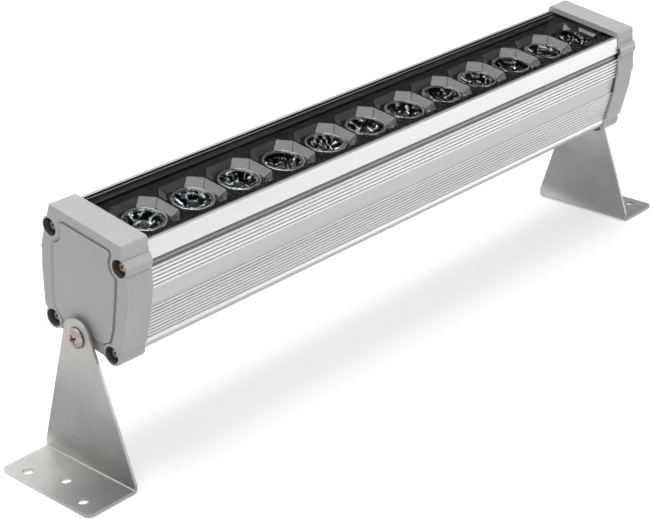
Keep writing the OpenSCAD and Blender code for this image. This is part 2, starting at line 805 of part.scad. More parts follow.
housing_profile();
left_end_cap();
right_end_cap();
left_cap_gasket();
right_cap_gasket();
left_cap_screws();
right_cap_screws();
glass_cover();
front_glass_seal();
rear_glass_seal();
led_board();
board_screws();
driver_block();
gland_body();
gland_seal();
gland_nut();
gland_locknut();
left_bracket();
right_bracket();
left_tilt_screw();
right_tilt_screw();
left_spacer();
right_spacer();
for (i = lens_ids) hood(i);
for (i = lens_ids) lens(i);
for (i = lens_ids) led(i);
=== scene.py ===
import json
import math

import bpy
from mathutils import Matrix, Vector


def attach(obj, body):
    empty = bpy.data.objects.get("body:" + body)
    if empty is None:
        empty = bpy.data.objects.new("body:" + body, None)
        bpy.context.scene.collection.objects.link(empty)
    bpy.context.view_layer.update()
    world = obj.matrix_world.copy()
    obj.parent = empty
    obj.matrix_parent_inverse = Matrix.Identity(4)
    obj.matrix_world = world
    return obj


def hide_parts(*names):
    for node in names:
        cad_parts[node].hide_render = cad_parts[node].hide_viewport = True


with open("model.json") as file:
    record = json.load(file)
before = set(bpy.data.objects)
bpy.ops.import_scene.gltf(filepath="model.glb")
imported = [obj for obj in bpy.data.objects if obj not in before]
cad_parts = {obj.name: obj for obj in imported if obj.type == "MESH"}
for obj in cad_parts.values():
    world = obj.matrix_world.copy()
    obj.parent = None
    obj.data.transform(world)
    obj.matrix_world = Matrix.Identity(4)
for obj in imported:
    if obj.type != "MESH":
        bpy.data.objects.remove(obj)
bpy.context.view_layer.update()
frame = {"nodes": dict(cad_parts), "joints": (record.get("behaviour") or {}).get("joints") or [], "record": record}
MM = 0.001

# The housing's own frame: origin on the tilt axis, Z square to the glass
PIVOT = Vector((0, 0, frame["joints"][0]["pos_m"][2]))
TILT = math.radians(8.9)
HOUSING = Matrix.Translation(PIVOT) @ Matrix.Rotation(TILT, 4, "X")
SLOTS = {row["node"]: row["material_slot"] for row in frame["record"]["subparts"]}

# Sizes repeated from part.scad, in millimetres, from the tilt axis and square to the glass
CAP_X, CAP_HALF, CAP_TOP, CAP_LENGTH, CAP_WALL = 251.0, 38.2, 74.6, 19.8, 7.5
CAP_SHARES = [(0.869, 0.879), (0.935, 0.748), (1, 0.576), (0.979, 0.555), (0.976, 0.394), (0.893, 0.052), (0.835, 0.04)]
PANEL_SHARES = [(0.563, 0.82), (0.7, 0.69), (0.7, 0.53), (0.673, 0.217), (0.615, 0.083), (0.445, 0.031)]
PANEL_TOP_SHARE = 0.888
PANEL_CLEAR, LOW_PANEL_CLEAR, MOAT_W = 9.6, 7.8, 3.2
SCREW_SPOTS = [(30, 59.4), (-30, 59.4), (26, -0.9), (-26, -0.9)]
HIGH_BOSS_R, LOW_BOSS_R = 6.9, 7.2
BOSS_RADII = (HIGH_BOSS_R, HIGH_BOSS_R, LOW_BOSS_R, LOW_BOSS_R)
SCREW_SEAT, PLATE_OUT = 246, 255.4
LENS_COUNT, LENS_PITCH, ROW_MIDDLE = 12, 38.85, 8.9
LENS_X = [ROW_MIDDLE + (i + 0.5 - LENS_COUNT / 2) * LENS_PITCH for i in range(LENS_COUNT)]
BOARD_TOP, LENS_R, LENS_FOOT_R, LENS_H, LENS_WELL_R = 48.0, 13.65, 5.6, 12, 3.4
GLASS_HALF = 27.8
HOOD_X, HOOD_Y, HOOD_H, POCKET_FLOOR, HOOD_WALL, BORE_R = 19.25, 24.0, 15.7, 10.6, 2.0, 13.95
# Pocket at its top and at its floor: half size along X and Y, and how much each corner takes off along X and Y
POCKET, FLOOR = (18.65, 17.7, 7.5, 8.0), (15.35, 15.7, 8.25, 8.8)


# Camera
def add_camera():
    heading, pitch, roll = math.radians(46.36), math.radians(-24.97), math.radians(-2.024)
    focal_px, photo_w, sensor = 1751.1, 653, 36
    data = bpy.data.cameras.new("camera")
    data.sensor_width = sensor
    data.lens = focal_px * sensor / photo_w
    data.clip_end = 50
    camera = bpy.data.objects.new("camera", data)
    bpy.context.scene.collection.objects.link(camera)
    turn = (Matrix.Rotation(-heading, 4, "Z") @ Matrix.Rotation(math.pi / 2 + pitch, 4, "X")
            @ Matrix.Rotation(roll, 4, "Z"))
    camera.matrix_world = Matrix.Translation(Vector((-810.58, -732.73, 557.23)) * MM) @ turn
    bpy.context.scene.camera = camera


# Materials
# Noise drawn out along X, as extruded metal has, or even all round
ALONG, EVEN = (0.004, 1, 1), (1, 1, 1)
# How much the gloss varies, the shade painted inside the trough, and the glass's ground edge and bonded side in
# millimetres
GLOSS_SHARE, TROUGH_PAINTED_SHADE, EDGE_W, SIDE_DEPTH = 0.12, 0.02, 0.55, 0.02
# Painted light and shade up the profile: heel, lower ribs painted lighter as a highlight, plain band, upper ribs
# painted lighter as a highlight, then the groove under the lip, painted dark as shade
PROFILE_LIGHT_AND_SHADE = (0.0020, 1, 0.0029, 1.32, 0.0280, 1.32, 0.0288, 1, 0.0404, 1, 0.0412, 1.38, 0.0536, 1.38,
                 0.0545, 1, 0.0560, 0.8, 0.0572, 0.3, 0.0597, 0.25, 0.0599, 1)
# Painted light and shade up a bracket: foot and bend painted bright as light, lower half of the upright painted darker
# as shade
BRACKET_LIGHT_AND_SHADE = (-0.0935, 1.5, -0.0880, 1.2, -0.0835, 0.9, -0.0800, 0.77, -0.0450, 0.74, -0.0200, 1.06)
# Painted shade up a tilt screw's head: darker towards the bottom, a little lighter at the top
SCREW_PAINTED_SHADE = (-0.0062, 0.22, -0.0035, 0.55, 0.0020, 1, 0.0060, 1.1)


def new_material(name):
    mat = bpy.data.materials.new(name)
    mat.use_nodes = True
    tree = mat.node_tree
    tree.nodes.clear()
    out = tree.nodes.new("ShaderNodeOutputMaterial")
    shader = tree.nodes.new("ShaderNodeBsdfPrincipled")
    tree.links.new(shader.outputs[0], out.inputs[0])
    return mat, tree, shader


def node(tree, kind, **values):
    n = tree.nodes.new("ShaderNode" + kind)
    for key, value in values.items():
        if key in n.inputs:
            n.inputs[key].default_value = value
        else:
            setattr(n, key, value)
    return n


def noise(tree, scale, detail=2.0, stretch=(1, 1, 1)):
    coords = node(tree, "TexCoord")
    mapping = node(tree, "Mapping")
    mapping.inputs["Scale"].default_value = stretch
    tree.links.new(coords.outputs["Object"], mapping.inputs["Vector"])
    tex = node(tree, "TexNoise", Scale=scale, Detail=detail)
    tree.links.new(mapping.outputs[0], tex.inputs["Vector"])
    return tex.outputs["Fac"]


def ramp(tree, fac, low, high, at=(0.35, 0.65)):
    n = tree.nodes.new("ShaderNodeValToRGB")
    n.color_ramp.elements[0].position, n.color_ramp.elements[1].position = at
    n.color_ramp.elements[0].color = (*low, 1)
    n.color_ramp.elements[1].color = (*high, 1)
    tree.links.new(fac, n.inputs[0])
    return n.outputs[0]


def spread(tree, fac, low, high):
    n = node(tree, "MapRange")
    n.inputs["To Min"].default_value = low
    n.inputs["To Max"].default_value = high
    tree.links.new(fac, n.inputs[0])
    return n.outputs[0]


def bump(tree, shader, fac, strength, distance):
    n = node(tree, "Bump", Strength=strength, Distance=distance)
    tree.links.new(fac, n.inputs["Height"])
    tree.links.new(n.outputs[0], shader.inputs["Normal"])


def multiply(tree, a, b):
    n = node(tree, "Mix", data_type="RGBA", blend_type="MULTIPLY")
    n.inputs[0].default_value = 1
    tree.links.new(a, n.inputs[6])
    tree.links.new(b, n.inputs[7])
    return n.outputs[2]


def shades(color, share):
    """A colour made darker and lighter by a share."""
    return [c * (1 - share) for c in color], [min(1, c * (1 + share)) for c in color]


def housing_coords(tree):
    """X, Y and Z in the housing's own frame."""
    coords = node(tree, "TexCoord")
    turn = node(tree, "Mapping")
    turn.inputs["Rotation"].default_value = (-TILT, 0, 0)
    turn.inputs["Location"].default_value = -(Matrix.Rotation(-TILT, 3, "X") @ PIVOT)
    split = node(tree, "SeparateXYZ")
    tree.links.new(coords.outputs["Object"], turn.inputs["Vector"])
    tree.links.new(turn.outputs[0], split.inputs[0])
    return split.outputs


def beyond(tree, value, limit):
    """1 where the size of a value is over a limit, else 0."""
    size = node(tree, "Math", operation="ABSOLUTE")
    over = node(tree, "Math", operation="GREATER_THAN")
    over.inputs[1].default_value = limit
    tree.links.new(value, size.inputs[0])
    tree.links.new(size.outputs[0], over.inputs[0])
    return over.outputs[0]


def surface(name, color, rough, metallic, vary, grain, relief=(0.1, 0.0001), specular=0.5, cloud=None,
            painted_light_steps=None, painted_shade_trough=None):
    """A surface with variation in colour, gloss and relief along its grain, and wider clouds if asked.
    grain is the scale, detail and stretch of the noise, relief the strength and depth of its bump, in metres.
    cloud is the scale, detail, stretch, darkest tone and span of the wider noise. painted_light_steps are steps of
    height up the housing, in metres, and the tone of light or shade painted there. painted_shade_trough is the half
    width and the foot of an inside painted dark as shade, in metres."""
    mat, tree, shader = new_material(name)
    fac = noise(tree, *grain)
    low, high = shades(color, vary)
    tint = ramp(tree, fac, low, high)
    gloss = spread(tree, fac, rough * (1 - GLOSS_SHARE), min(1, rough * (1 + GLOSS_SHARE)))
    if cloud:
        scale, detail, stretch, dark, at = cloud
        tint = multiply(tree, tint, ramp(tree, noise(tree, scale, detail, stretch), (dark,) * 3, (1, 1, 1), at))
    # Light and shade painted in steps up the housing
    if painted_light_steps:
        span = node(tree, "MapRange")
        span.inputs["From Min"].default_value, span.inputs["From Max"].default_value = painted_light_steps[0], painted_light_steps[-2]
        tree.links.new(housing_coords(tree)[2], span.inputs[0])
        light_tones = tree.nodes.new("ShaderNodeValToRGB")
        stops = light_tones.color_ramp.elements
        for k in range(0, len(painted_light_steps), 2):
            at = (painted_light_steps[k] - painted_light_steps[0]) / (painted_light_steps[-2] - painted_light_steps[0])
            stop = stops[k // 2] if k < 4 else stops.new(at)
            stop.position, stop.color = at, (painted_light_steps[k + 1],) * 3 + (1,)
        tree.links.new(span.outputs[0], light_tones.inputs[0])
        tint = multiply(tree, tint, light_tones.outputs[0])
    # The inside of the housing painted near black as shade
    if painted_shade_trough:
        across, up = housing_coords(tree)[1:]
        shade = node(tree, "MapRange")
        shade.inputs["To Min"].default_value, shade.inputs["To Max"].default_value = 1, TROUGH_PAINTED_SHADE
        inside = node(tree, "Math", operation="SUBTRACT")
        inside.use_clamp = True
        tree.links.new(beyond(tree, up, painted_shade_trough[1]), inside.inputs[0])
        tree.links.new(beyond(tree, across, painted_shade_trough[0]), inside.inputs[1])
        tree.links.new(inside.outputs[0], shade.inputs[0])
        tint = multiply(tree, tint, shade.outputs[0])
    tree.links.new(tint, shader.inputs["Base Color"])
    tree.links.new(gloss, shader.inputs["Roughness"])
    shader.inputs["Metallic"].default_value = metallic
    shader.inputs["Specular IOR Level"].default_value = specular
    if relief[0]:
        bump(tree, shader, fac, *relief)
    return mat


def edge_glass(mat):
    """Gives a clear lid its ground edge line and the black seal bonded to its sides."""
    tree = mat.node_tree
    across = housing_coords(tree)[1]
    out = tree.nodes["Material Output"]
    last = out.inputs[0].links[0].from_socket
    ground = ((GLASS_HALF - EDGE_W) * MM, (0.16, 0.16, 0.165), 0.6)
    bonded = ((GLASS_HALF - SIDE_DEPTH) * MM, (0.012, 0.012, 0.012), 0.5)
    for limit, color, rough in (ground, bonded):
        shader = node(tree, "BsdfPrincipled", Roughness=rough)
        shader.inputs["Base Color"].default_value = (*color, 1)
        mix = node(tree, "MixShader")
        tree.links.new(beyond(tree, across, limit), mix.inputs[0])
        tree.links.new(last, mix.inputs[1])
        tree.links.new(shader.outputs[0], mix.inputs[2])
        last = mix.outputs[0]
    tree.links.new(last, out.inputs[0])
    return mat


def window(name, color, rough, ior):
    """Clear material that lets lamps through."""
    mat, tree, shader = new_material(name)
    tree.nodes.remove(shader)
    glass = node(tree, "BsdfGlass", Color=(*color, 1), Roughness=rough, IOR=ior)
    clear = node(tree, "BsdfTransparent", Color=(*color, 1))
    path = node(tree, "LightPath")
    mix = node(tree, "MixShader")
    tree.links.new(path.outputs["Is Shadow Ray"], mix.inputs[0])
    tree.links.new(glass.outputs[0], mix.inputs[1])
    tree.links.new(clear.outputs[0], mix.inputs[2])
    tree.links.new(mix.outputs[0], tree.nodes["Material Output"].inputs[0])
    return mat


MATERIALS = {
    # The extruded aluminium has painted highlights on its ribs, painted shade in the groove under the lip, and its
    # inside painted near black as shade
    "profile_aluminium": surface("extruded_aluminium", (0.46, 0.46, 0.455), 0.46, 1.0, 0.04, (1400, 3.0, ALONG),
                                 (0.35, 0.00005), cloud=(60, 3.0, (0.05, 1, 1), 0.93, (0.35, 0.65)),
                                 painted_light_steps=PROFILE_LIGHT_AND_SHADE, painted_shade_trough=(0.02922, 0.046)),
    "cap_paint": surface("grey_paint", (0.385, 0.385, 0.40), 0.4, 0.0, 0.03, (2600, 2.0, EVEN), (0.2, 0.00003),
                         cloud=(40, 3.0, EVEN, 0.95, (0.35, 0.65))),
    # The rolled steel has painted light on the foot and bend, and painted shade on the upright's lower half
    "bracket_steel": surface("rolled_steel", (0.395, 0.39, 0.38), 0.5, 1.0, 0.06, (900, 4.0, EVEN), (0.15, 0.00003),
                             cloud=(28, 5.0, EVEN, 0.86, (0.36, 0.64)),
                             painted_light_steps=BRACKET_LIGHT_AND_SHADE),
    # The screw steel has painted shade, darker towards the bottom of a tilt screw's head
    "screw_steel": surface("screw_steel", (0.40, 0.335, 0.315), 0.24, 1.0, 0.06, (800, 2.0, EVEN), (0.1, 0.00003),
                           painted_light_steps=SCREW_PAINTED_SHADE),
    "black_rubber": surface("black_rubber", (0.016, 0.016, 0.017), 0.6, 0.0, 0.1, (1500, 2.0, EVEN)),
    "hood_black": surface("hood_plastic", (0.009, 0.0085, 0.0095), 0.16, 0.0, 0.08, (1800, 2.0, EVEN), (0.1, 0.00002),
                          specular=0.15),
    "board_white": surface("board_white", (0.6, 0.6, 0.58), 0.5, 0.0, 0.03, (600, 2.0, EVEN)),
    "driver_case": surface("driver_case", (0.03, 0.03, 0.03), 0.5, 0.0, 0.08, (500, 2.0, EVEN)),
    "gland_nylon": surface("gland_nylon", (0.028, 0.028, 0.03), 0.45, 0.0, 0.06, (900, 2.0, EVEN)),
    "led_yellow": surface("led_yellow", (0.75, 0.62, 0.2), 0.4, 0.0, 0.05, (3000, 2.0, EVEN)),
    "cover_glass": edge_glass(window("cover_glass", (0.98, 0.99, 0.985), 0.0, 1.18)),
    "lens_clear": window("lens_clear", (0.97, 0.98, 0.99), 0.0, 1.49),
}
# The deep faces of a screw's cross, painted dark as shade
CROSS_PAINTED_SHADE = surface("screw_cross_painted_shade", (0.14, 0.075, 0.045), 0.5, 1.0, 0.1, (900, 2.0, EVEN), (0.1, 0.00003))
# Walls and floors of the caps' recesses, painted dark as shade
RECESS_PAINTED_SHADE = surface("recess_painted_shade", (0.075, 0.073, 0.074), 0.5, 0.0, 0.1, (900, 2.0, EVEN), (0.1, 0.00003))
CAP_SCREW = surface("cap_screw_steel", (0.36, 0.255, 0.205), 0.28, 1.0, 0.08, (900, 2.0, EVEN), (0.1, 0.00003))
# The lens's cone as a mirror broken by near-black streaks: a painted reflection of the light and dark seen inside a
# lens
LENS_CONE_PAINTED_REFLECTION = surface("lens_cone", (0.9, 0.92, 0.95), 0.06, 1.0, 0.05, (700, 2.0, EVEN), (0.0, 0.0),
                    cloud=(260, 4.0, (1, 1, 0.3), 0.012, (0.49, 0.58)))
# Lit and shaded copies of the hood's pocket walls: grey mirror metal as painted light, dull near black as painted shade
POCKET_WALL_PAINTED_LIGHT = surface("pocket_wall_painted_light", (0.29, 0.29, 0.285), 0.12, 1.0, 0.05, (1800, 2.0, EVEN), (0.1, 0.00002))
POCKET_WALL_PAINTED_SHADE = surface("pocket_wall_painted_shade", (0.04, 0.04, 0.04), 0.45, 0.0, 0.08, (1800, 2.0, EVEN), (0.1, 0.00002),
                      specular=0.1)
HOOD_JOINT = surface("hood_joint", (0.012, 0.012, 0.012), 0.6, 0.0, 0.1, (900, 2.0, EVEN))
# Bright metal on the top of a lens's rim, a painted highlight
LENS_RIM_PAINTED_HIGHLIGHT = surface("lens_rim", (0.6, 0.61, 0.63), 0.15, 1.0, 0.05, (700, 2.0, EVEN), (0.0, 0.0))
# The glass over the light source's hollow, tinted dark as painted shade
LENS_WELL_PAINTED_SHADE = window("lens_well", (0.2, 0.2, 0.21), 0.0, 1.49)
WORN_EDGE = surface("screw_edge", (0.26, 0.15, 0.1), 0.4, 1.0, 0.1, (900, 2.0, EVEN), (0.1, 0.00003))


def dress(obj, slot):
    obj.data.materials.clear()
    obj.data.materials.append(MATERIALS[slot])


def round_edges(obj, width):
    """Rounds the sharp edges of a carried node by a small radius."""
    weld = obj.modifiers.new("weld", "WELD")
    weld.merge_threshold = 0.002 * MM
    flat = obj.modifiers.new("flat", "DECIMATE")
    flat.decimate_type = "DISSOLVE"
    flat.angle_limit = math.radians(0.5)
    edge = obj.modifiers.new("edges", "BEVEL")
    edge.limit_method = "ANGLE"
    edge.angle_limit = math.radians(28)
    edge.width = width
    edge.segments = 2
    edge.use_clamp_overlap = False
    edge.harden_normals = True


for name, obj in frame["nodes"].items():
    dress(obj, SLOTS[name])
for name in ("left_bracket", "right_bracket"):
    round_edges(frame["nodes"][name], 0.2 * MM)
for name in ("gland_body", "gland_nut"):
    round_edges(frame["nodes"][name], 0.4 * MM)


# Pieces
AROUND = 96


def add_piece(name, verts, faces, slot, replaced, groups=None, extra=()):
    """A smooth mesh from points in the housing's frame, in millimetres, that rides on the housing and stands for a
    node. groups gives each face's material: 0 is the slot's own, 1 and up are the extra ones."""
    mesh = bpy.data.meshes.new(name)
    mesh.from_pydata([HOUSING @ (Vector(v) * MM) for v in verts], [], faces)
    mesh.materials.append(MATERIALS[slot])
    for mat in extra:
        mesh.materials.append(mat)
    for k, face in enumerate(mesh.polygons):
        face.use_smooth = True
        if groups:
            face.material_index = groups[k]
    mesh.update()
    piece = bpy.data.objects.new(name, mesh)
    bpy.context.scene.collection.objects.link(piece)
    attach(piece, "housing")
    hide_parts(replaced)
    return piece


# Screws: rim and cross recess as shares of the head, slopes of the cross as shares of an arm's width or length
HEAD_RIM, CROSS_ARM, CROSS_WIDTH, CROSS_DEPTH = 0.34, 0.27, 0.075, 0.55
ARM_TAPER, ARM_WALL, ARM_END, CORE_CORNER, CORE_SIZE, CORE_WALL = 0.3, 0.28, 0.45, 0.4, 1.9, 0.5
DOME_RINGS, RIM_BANDS, RECESS_DEPTH = 26, range(4, 7), 0.2
CAP_SCREW_SIZES = {"d": 4, "head_d": 8.4, "head_h": 3, "length": 16, "spin": 0.5}
TILT_SCREW_SIZES = {"d": 6, "head_d": 13.4, "head_h": 3.7, "length": 10.4, "spin": 0.95}


def cross_depth(p, q, arm, width, depth):
    """Depth of a cross recess with tapered arms and a wider core, at a point of the head."""
    deepest = 0
    for a, b in ((p, q), (q, p)):
        reach = abs(a) / arm
        if reach < 1:
            half = width * (1 - ARM_TAPER * reach)
            wall = min(1, max(0, (half - abs(b)) / (ARM_WALL * width)))
            end = min(1, (1 - reach) / ARM_END)
            deepest = max(deepest, depth * wall * end)
    core = max(abs(p), abs(q)) + CORE_CORNER * min(abs(p), abs(q))
    return max(deepest, depth * min(1, max(0, (CORE_SIZE * width - core) / (CORE_WALL * width))))


def screw_mesh(spots, seat, side, d, head_d, head_h, length, spin):
    """Domed screws along X with a real cross recess, as points, faces and their material groups."""
    verts, faces, groups = [], [], []
    r_head, rim = head_d / 2, head_h * HEAD_RIM
    dome = (r_head ** 2 + (head_h - rim) ** 2) / (2 * (head_h - rim))

    def dome_height(r):
        return rim + math.sqrt(max(0, dome ** 2 - r ** 2)) - (dome - (head_h - rim))

    # Height over the seat and radius of each ring. The dome's rings have no height of their own
    shape = [(-length, 0.01), (-length, d / 2 - 0.6), (0.6 - length, d / 2), (0, d / 2), (0, r_head - 0.25),
             (0.12, r_head - 0.05), (0.3, r_head), (rim - 0.15, r_head), (rim + 0.1, r_head - 0.12)]
    shape += [(None, (r_head - 0.3) * (1 - k / DOME_RINGS) ** 0.9 + 0.01) for k in range(DOME_RINGS + 1)]
    for spot_y, spot_z in spots:
        base = len(verts)
        for height, r in shape:
            for k in range(AROUND):
                a = 2 * math.pi * k / AROUND
                y, z = r * math.cos(a), r * math.sin(a)
                rise = height
                if height is None:
                    p, q = y * math.cos(spin) + z * math.sin(spin), z * math.cos(spin) - y * math.sin(spin)
                    cross = cross_depth(p, q, head_d * CROSS_ARM, head_d * CROSS_WIDTH, head_h * CROSS_DEPTH)
                    rise = dome_height(r) - cross
                verts.append((side * (seat + rise), spot_y + y, spot_z + z))
        for j in range(len(shape) - 1):
            for k in range(AROUND):
                a, b = base + j * AROUND + k, base + j * AROUND + (k + 1) % AROUND
                c, e = b + AROUND, a + AROUND
                faces.append((a, b, c, e) if side > 0 else (e, c, b, a))
                cut = 0
                if shape[j + 1][0] is None:
                    x, y, z = verts[a]
                    cut = dome_height(math.hypot(y - spot_y, z - spot_z)) - (side * x - seat)
                # Faces deep in the cross take the painted shade, the rim bands the worn edge
                groups.append(1 if cut > RECESS_DEPTH * head_h else 2 if j in RIM_BANDS else 0)
    return verts, faces, groups


for side, word in ((-1, "left"), (1, "right")):
    verts, faces, groups = screw_mesh(SCREW_SPOTS, SCREW_SEAT, side, **CAP_SCREW_SIZES)
    screws = add_piece(word + "_cap_screw_heads", verts, faces, "screw_steel", word + "_cap_screws", groups,
                       (CROSS_PAINTED_SHADE, WORN_EDGE))
    screws.data.materials[0] = CAP_SCREW
    verts, faces, groups = screw_mesh([(0, 0)], PLATE_OUT, side, **TILT_SCREW_SIZES)
    add_piece(word + "_tilt_screw_head", verts, faces, "screw_steel", word + "_tilt_screw", groups,
              (CROSS_PAINTED_SHADE, WORN_EDGE))


# End caps: every loop round a cap is a set of distances from one middle point, at the same directions
MID_Z, MIDDLE_R = 32.0, 0.02
# Section of a cap: distance out from the panel's edge and depth under the face, then distance in from the outline
MOAT_STEPS = [(-0.5, 0), (-0.15, 0.1), (0, 0.4), (0.05, 1.8), (0.5, 1.8), (0.65, 1.25), (1.4, 0.75), (2.2, 0.3),
              (3.0, 0.04), (MOAT_W, 0)]
EDGE_STEPS = [(1.0, 0), (0.6, 0.1), (0.25, 0.38), (0.04, 0.8), (0, 1.2), (0, 19.5), (0.25, 19.78),
              (0.6, CAP_LENGTH)]
# The moat runs out to the outline under the panel: the rings that are lowered there, how far down, and where
OPEN_RINGS, OPEN_DEPTH, OPEN_HALF, OPEN_TOP = range(6, 15), 1.0, 18.7, 3.2
SEAM_HALF, SEAM_DEPTH, LEAST_TURN = 0.5, 0.3, 0.002
# Recess over a screw: X and radius of its rings, and how near its axis the bore painted dark as shade and the worn lip
# reach
DRILL, DRILL_SIDES = [(252, 6.1), (250.6, 5.4), (SCREW_SEAT, 5.4)], 72
BORE_NEAR, LIP_NEAR = 5.45, 6.3


def mirrored(half):
    """A closed outline from its half at +Y."""
    return half + [(-y, z) for y, z in reversed(half)]


def shifted(loop, grow):
    """A closed outline with every edge moved outwards."""
    out = []
    for k in range(len(loop)):
        (ay, az), (by, bz), (cy, cz) = loop[k - 1], loop[k], loop[(k + 1) % len(loop)]
        l1, l2 = math.hypot(by - ay, bz - az), math.hypot(cy - by, cz - bz)
        n1 = (-(bz - az) / l1, (by - ay) / l1)
        n2 = (-(cz - bz) / l2, (cy - by) / l2)
        scale = grow / max(0.3, 1 + n1[0] * n2[0] + n1[1] * n2[1])
        out.append((by + (n1[0] + n2[0]) * scale, bz + (n1[1] + n2[1]) * scale))
    return out


def softened(loop, radii):
    """A closed outline with its corners rounded."""
    out = []
    for k in range(len(loop)):
        a, b, c = Vector(loop[k - 1]), Vector(loop[k]), Vector(loop[(k + 1) % len(loop)])
        u, v = (a - b), (c - b)
        reach = min(radii[k], u.length * 0.45, v.length * 0.45)
        start, end = b + u.normalized() * reach, b + v.normalized() * reach
        for t in (0, 0.2, 0.4, 0.6, 0.8, 1):
            out.append(tuple(start * (1 - t) ** 2 + b * 2 * t * (1 - t) + end * t * t))
    return out


def polygon_reach(loop, angle):
    """Distance from the middle to a closed outline, in a direction."""
    dy, dz = math.cos(angle), math.sin(angle)
    best = 1e9
    for (y0, z0), (y1, z1) in zip(loop, loop[1:] + loop[:1]):
        ey, ez = y1 - y0, z1 - z0
        den = dy * ez - dz * ey
        if abs(den) > 1e-9:
            t = (y0 * ez - (z0 - MID_Z) * ey) / den
            s = (y0 * dz - (z0 - MID_Z) * dy) / den
            if t > 0 and -1e-6 <= s <= 1 + 1e-6:
                best = min(best, t)
    return best


def circle_reach(spot, r, angle, far):
    """Where a ray from the middle first meets or last leaves a circle."""
    along = spot[0] * math.cos(angle) + (spot[1] - MID_Z) * math.sin(angle)
    rest = r * r - (spot[0] ** 2 + (spot[1] - MID_Z) ** 2 - along ** 2)
    if rest < 0 or along < 0:
        return None
    return along + math.sqrt(rest) * (1 if far else -1)


# Half outlines of a cap and of its raised panel, and the inside of a cap's rim, which clears the profile
SIDE = [(31.2, CAP_TOP)] + [(a * CAP_HALF, b * CAP_TOP) for a, b in CAP_SHARES] + [(26, -5.4)]
RADII = [1.6, 1.0, 1.4, 0.5, 0.3, 1.6, 1.2, 0.5, 0.5]
CAP_LOOP = softened(mirrored(SIDE), RADII + RADII[::-1])
PROFILE_LOOP = mirrored([(31.23, 70.43), (34.33, 59.8), (36.13, 42), (35.83, 28.8)]
                        + [(26.2 + 6.23 * math.cos(math.radians(a)), 2 - 6.23 * math.sin(math.radians(a)))
                           for a in (0, 15, 30, 45, 60, 75, 90)])
PANEL = [(PANEL_SHARES[0][0] * CAP_HALF, PANEL_TOP_SHARE * CAP_TOP)]
PANEL += [(a * CAP_HALF, b * CAP_TOP) for a, b in PANEL_SHARES]
PANEL_RADII = [4, 0.5, 1, 2, 2, 1, 2]
PANEL_LOOP = softened(mirrored(PANEL), PANEL_RADII + PANEL_RADII[::-1])
# Fine grooves along the sides of the caps: direction, and distance from the middle
SEAMS = []


def outline_reach(angle, inset):
    """Distance to the outer edge of a cap with its bosses and seams, moved in."""
    best = polygon_reach(shifted(CAP_LOOP, -inset) if inset else CAP_LOOP, angle)
    for spot, r in zip(SCREW_SPOTS, BOSS_RADII):
        hit = circle_reach(spot, r - inset, angle, True)
        if hit:
            best = max(best, hit)
    for seam, reach in SEAMS:
        off = abs(angle - seam) * reach / SEAM_HALF
        best -= SEAM_DEPTH * max(0, 1 - off)
    return best


def panel_reach(angle, grow):
    """Distance to the edge of a cap's panel, moved out, where it keeps clear of the bosses."""
    best = polygon_reach(shifted(PANEL_LOOP, grow), angle)
    high, low = PANEL_CLEAR - grow, max(LOW_PANEL_CLEAR - grow, LOW_BOSS_R - 0.02 * grow)
    for spot, r in zip(SCREW_SPOTS, (high, high, low, low)):
        hit = circle_reach(spot, r, angle, False)
        if hit:
            best = min(best, hit)
    return best


def boss_lead(spot, r, angle):
    """How far a boss stands out past the plain outline."""
    return (circle_reach(spot, r, angle, True) or 0) - polygon_reach(CAP_LOOP, angle)


def cap_angles():
    """Directions through all corners and boss joints, and a few between. Adds a seam at each boss joint and side."""
    found = [math.radians(a) for a in range(360)]
    for loop in (CAP_LOOP, PROFILE_LOOP, PANEL_LOOP):
        found += [math.atan2(z - MID_Z, y) % (2 * math.pi) for y, z in loop]
    plain = sorted(found)
    for spot, r in zip(SCREW_SPOTS, BOSS_RADII):
        lead = [boss_lead(spot, r, a) for a in plain]
        for a, b, u, v in zip(plain, plain[1:], lead, lead[1:]):
            if u * v < 0 and min(abs(u), abs(v)) < 3:
                for _ in range(24):
                    m = (a + b) / 2
                    w = boss_lead(spot, r, m)
                    a, b, u = (m, b, w) if u * w > 0 else (a, m, u)
                SEAMS.append((a, polygon_reach(CAP_LOOP, a)))
    for s in (-1, 1):
        y, z = s * CAP_HALF, CAP_SHARES[2][1] * CAP_TOP
        SEAMS.append((math.atan2(z - MID_Z, y) % (2 * math.pi), math.hypot(y, z - MID_Z)))
    for seam, reach in SEAMS:
        found += [seam - SEAM_HALF / reach, seam, seam + SEAM_HALF / reach]
    found = sorted(found)
    return [a for k, a in enumerate(found) if k == 0 or a - found[k - 1] > LEAST_TURN]


def cap_rings():
    """Rings of a cap from the middle of its face, round its edge and back inside it, each with its depth."""
    angles = cap_angles()
    middle = [MIDDLE_R] * len(angles)
    inside = [polygon_reach(PROFILE_LOOP, a) for a in angles]
    rings = [(middle, 0)]
    rings += [([panel_reach(a, grow) for a in angles], depth) for grow, depth in MOAT_STEPS]
    rings += [([outline_reach(a, inset) for a in angles], depth) for inset, depth in EDGE_STEPS]
    rings += [(inside, CAP_LENGTH), (inside, CAP_WALL), (middle, CAP_WALL)]
    return angles, rings


CAP_ANGLES, CAP_RINGS = cap_rings()


def ring_faces(base, count, rings, side):
    """Faces between closed rings of points, and a lid on the first and the last, all facing out."""
    quads, first, last = [], base, base + (rings - 1) * count
    for j in range(rings - 1):
        for k in range(count):
            a, b = base + j * count + k, base + j * count + (k + 1) % count
            quads.append((a, b, b + count, a + count))
    quads += [tuple(first + k for k in reversed(range(count))), tuple(last + k for k in range(count))]
    return quads if side < 0 else [quad[::-1] for quad in quads]


